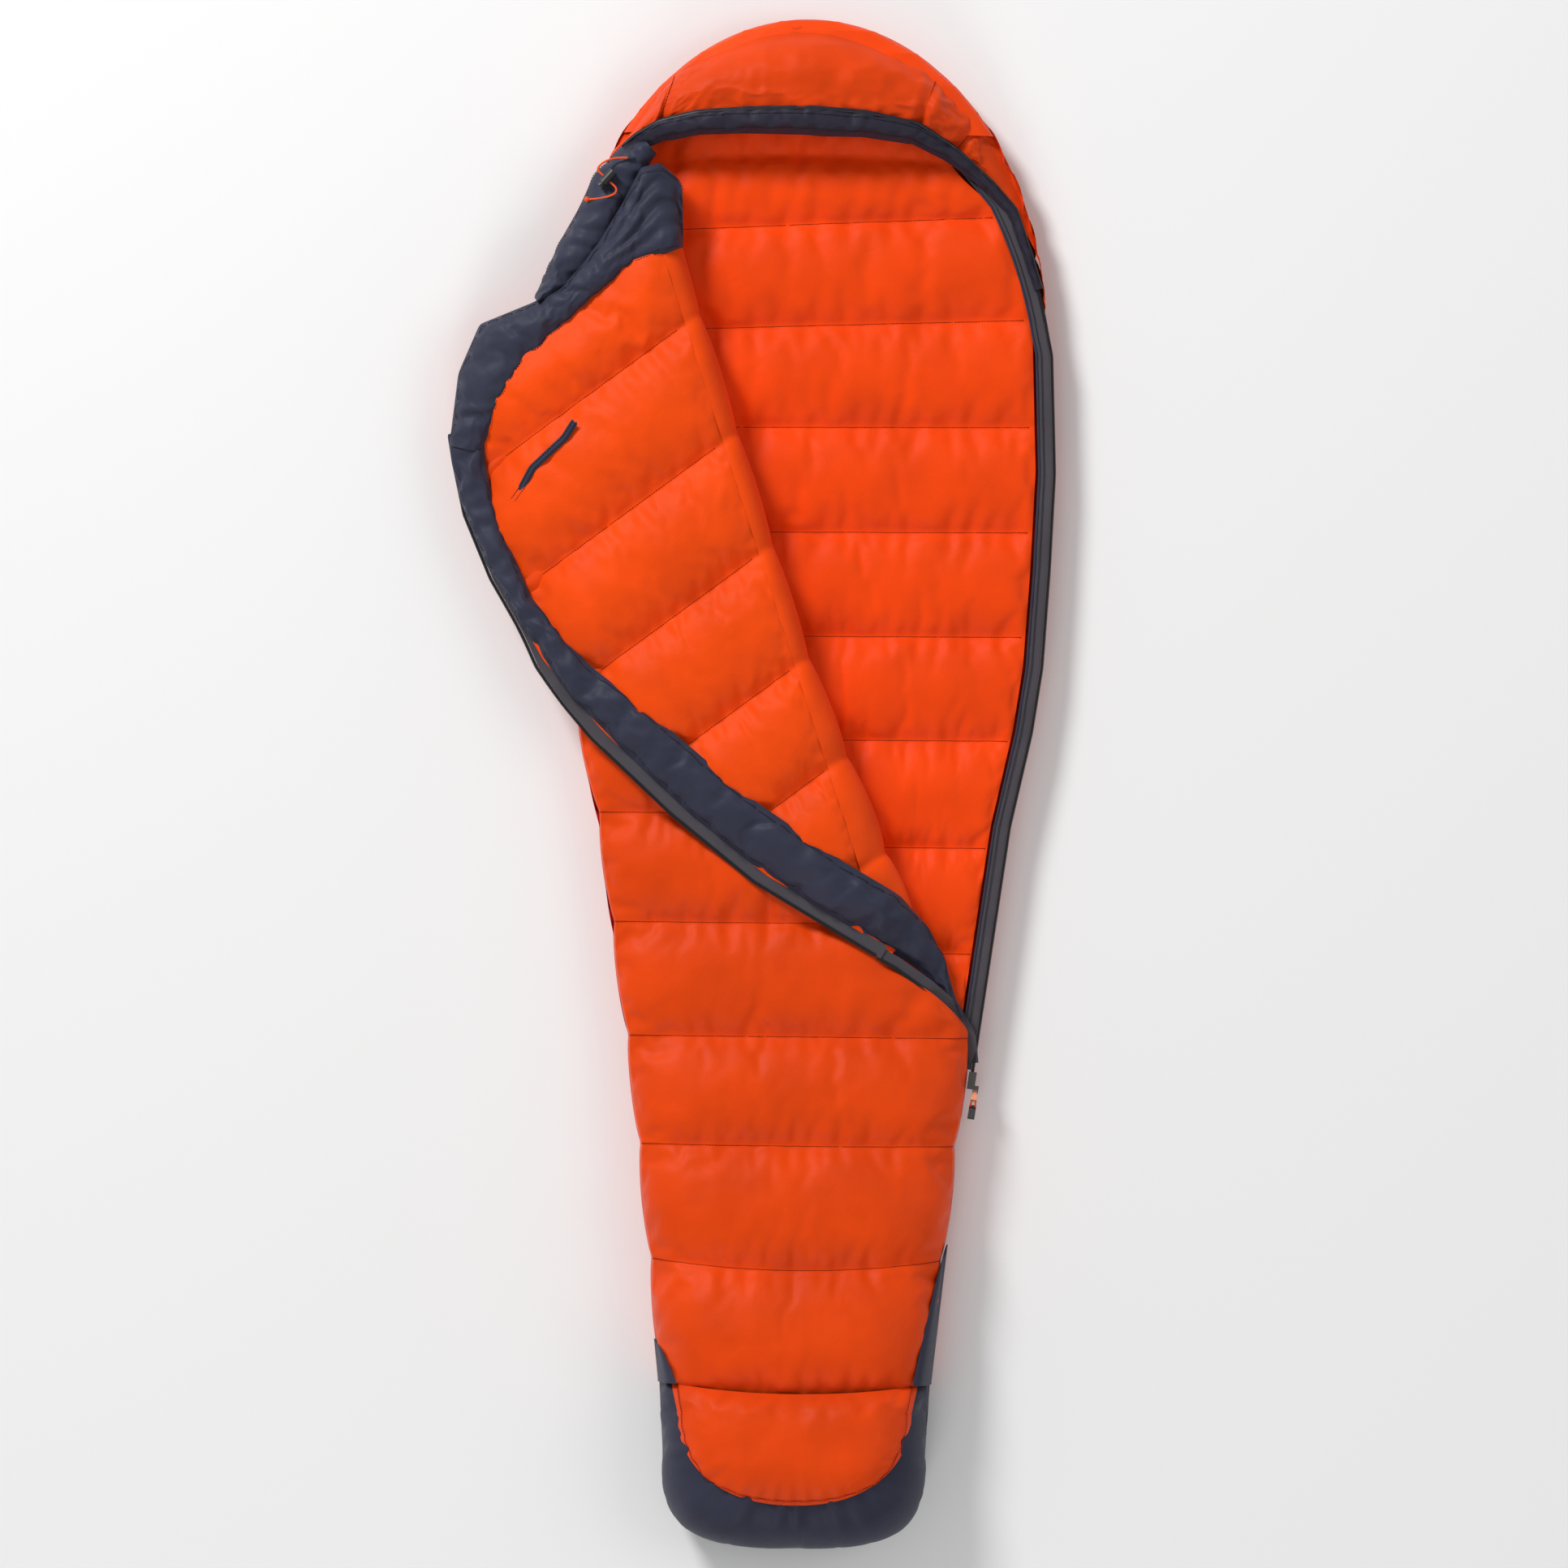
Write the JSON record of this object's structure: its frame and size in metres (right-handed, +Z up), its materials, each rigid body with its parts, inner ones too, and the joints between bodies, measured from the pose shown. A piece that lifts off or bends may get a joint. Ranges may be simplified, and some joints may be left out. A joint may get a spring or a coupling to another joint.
{
  "type": "mummy sleeping bag",
  "caption": "Quilted mummy sleeping bag with hood, side zip unzipped and its top panel folded open over the left side.",
  "frame": {"origin": "on the flat underside of the back, on the bag's centre line, half way between the crown of the hood and the toes", "axes": "+Y towards the head, +Z up from the floor, +X towards the zip side"},
  "size_m": [0.8797, 2.1966, 0.177],
  "materials": {
    "outer_fabric": "satin",
    "lining_fabric": "satin",
    "navy_fabric": "satin",
    "insulation": "matte",
    "zip_tape": "matte",
    "zip_coil": "satin",
    "slider_metal": "satin",
    "pull_tab_metal": "satin",
    "cord": "matte",
    "black_plastic": "satin",
    "spring_steel": "satin"
  },
  "bodies": {
    "bag_body": {"back_shell": "outer_fabric", "leg_back_shell": "outer_fabric", "back_fill": "insulation", "back_lining": "lining_fabric", "zip_edge_binding": "navy_fabric", "shoulder_side_panel": "outer_fabric", "top_panel_shell": "outer_fabric", "top_panel_fill": "insulation", "top_panel_lining": "lining_fabric", "left_draft_collar": "navy_fabric", "footbox_shell": "navy_fabric", "footbox_fill": "insulation", "footbox_lining": "lining_fabric", "foot_insert_panel": "outer_fabric", "back_zip_tape": "zip_tape", "back_zip_coil": "zip_coil", "zip_bottom_stop": "slider_metal", "zip_top_stop": "slider_metal", "hood_drawcord_end": "cord", "drawcord_exit_sleeve": "navy_fabric", "drawcord_knot": "cord"},
    "fold": {"fold_shell": "outer_fabric", "fold_fill": "insulation", "fold_lining": "lining_fabric"},
    "flap": {"flap_shell": "outer_fabric", "flap_fill": "insulation", "flap_lining": "lining_fabric", "flap_draft_collar": "navy_fabric", "zip_draft_tube": "navy_fabric", "flap_zip_tape": "zip_tape", "flap_zip_coil": "zip_coil", "inner_pocket_bag": "navy_fabric", "inner_pocket_binding": "navy_fabric"},
    "hood": {"hood_back_shell": "outer_fabric", "hood_back_fill": "insulation", "hood_back_lining": "lining_fabric", "hood_crown_panel": "outer_fabric", "hood_left_panel": "outer_fabric", "hood_right_panel": "outer_fabric", "hood_fill": "insulation", "hood_lining": "lining_fabric", "hood_face_band": "navy_fabric", "hood_channel_drawcord": "cord"},
    "zip_slider": {"zip_slider_body": "slider_metal"},
    "zip_tab": {"zip_pull_tab": "pull_tab_metal"},
    "zip_grip": {"zip_pull_cord": "cord", "zip_pull_grip": "black_plastic"},
    "cord_lock": {"cord_lock_barrel": "black_plastic", "cord_lock_spring": "spring_steel"},
    "cord_lock_plunger": {"cord_lock_button": "black_plastic"}
  },
  "joints": [
    {"name": "panel_fold", "type": "hinge", "parent": "bag_body", "child": "fold", "pos_m": [-0.22755, 0.89049, 0.068], "axis": [-0.3165, 0.9486, 0], "range_deg": [0, 89.4]},
    {"name": "flap_fold", "type": "hinge", "parent": "fold", "child": "flap", "pos_m": [-0.22755, 0.89049, 0.11], "axis": [-0.3165, 0.9486, 0], "range_deg": [0, 89.4]},
    {"name": "hood_tilt", "type": "hinge", "parent": "bag_body", "child": "hood", "pos_m": [0, 0.925, 0.044], "axis": [1, 0, 0], "range_deg": [0, 30]},
    {"name": "zip_slide", "type": "slide", "parent": "bag_body", "child": "zip_slider", "axis": [0.1381, 0.9904, 0], "range_m": [0, 0.34]},
    {"name": "tab_swing", "type": "hinge", "parent": "zip_slider", "child": "zip_tab", "pos_m": [0.25491, -0.44047, 0.0538], "axis": [-0.9904, 0.1381, 0], "range_deg": [0, 120]},
    {"name": "grip_swing", "type": "hinge", "parent": "zip_tab", "child": "zip_grip", "pos_m": [0.25305, -0.45385, 0.04434], "axis": [-0.9904, 0.1381, 0], "range_deg": [0, 90]},
    {"name": "lock_slide", "type": "slide", "parent": "bag_body", "child": "cord_lock", "axis": [-0.7431, 0.6691, 0], "range_m": [-0.005, 0.005]},
    {"name": "lock_press", "type": "slide", "parent": "cord_lock", "child": "cord_lock_plunger", "axis": [0.6691, 0.7431, 0], "range_m": [0, 0.003], "stiffness_N_per_m": 300, "springref_m": -0.002}
  ],
  "couplings": [
    {"joint": "flap_fold", "follows": "panel_fold", "ratio": 1}
  ]
}
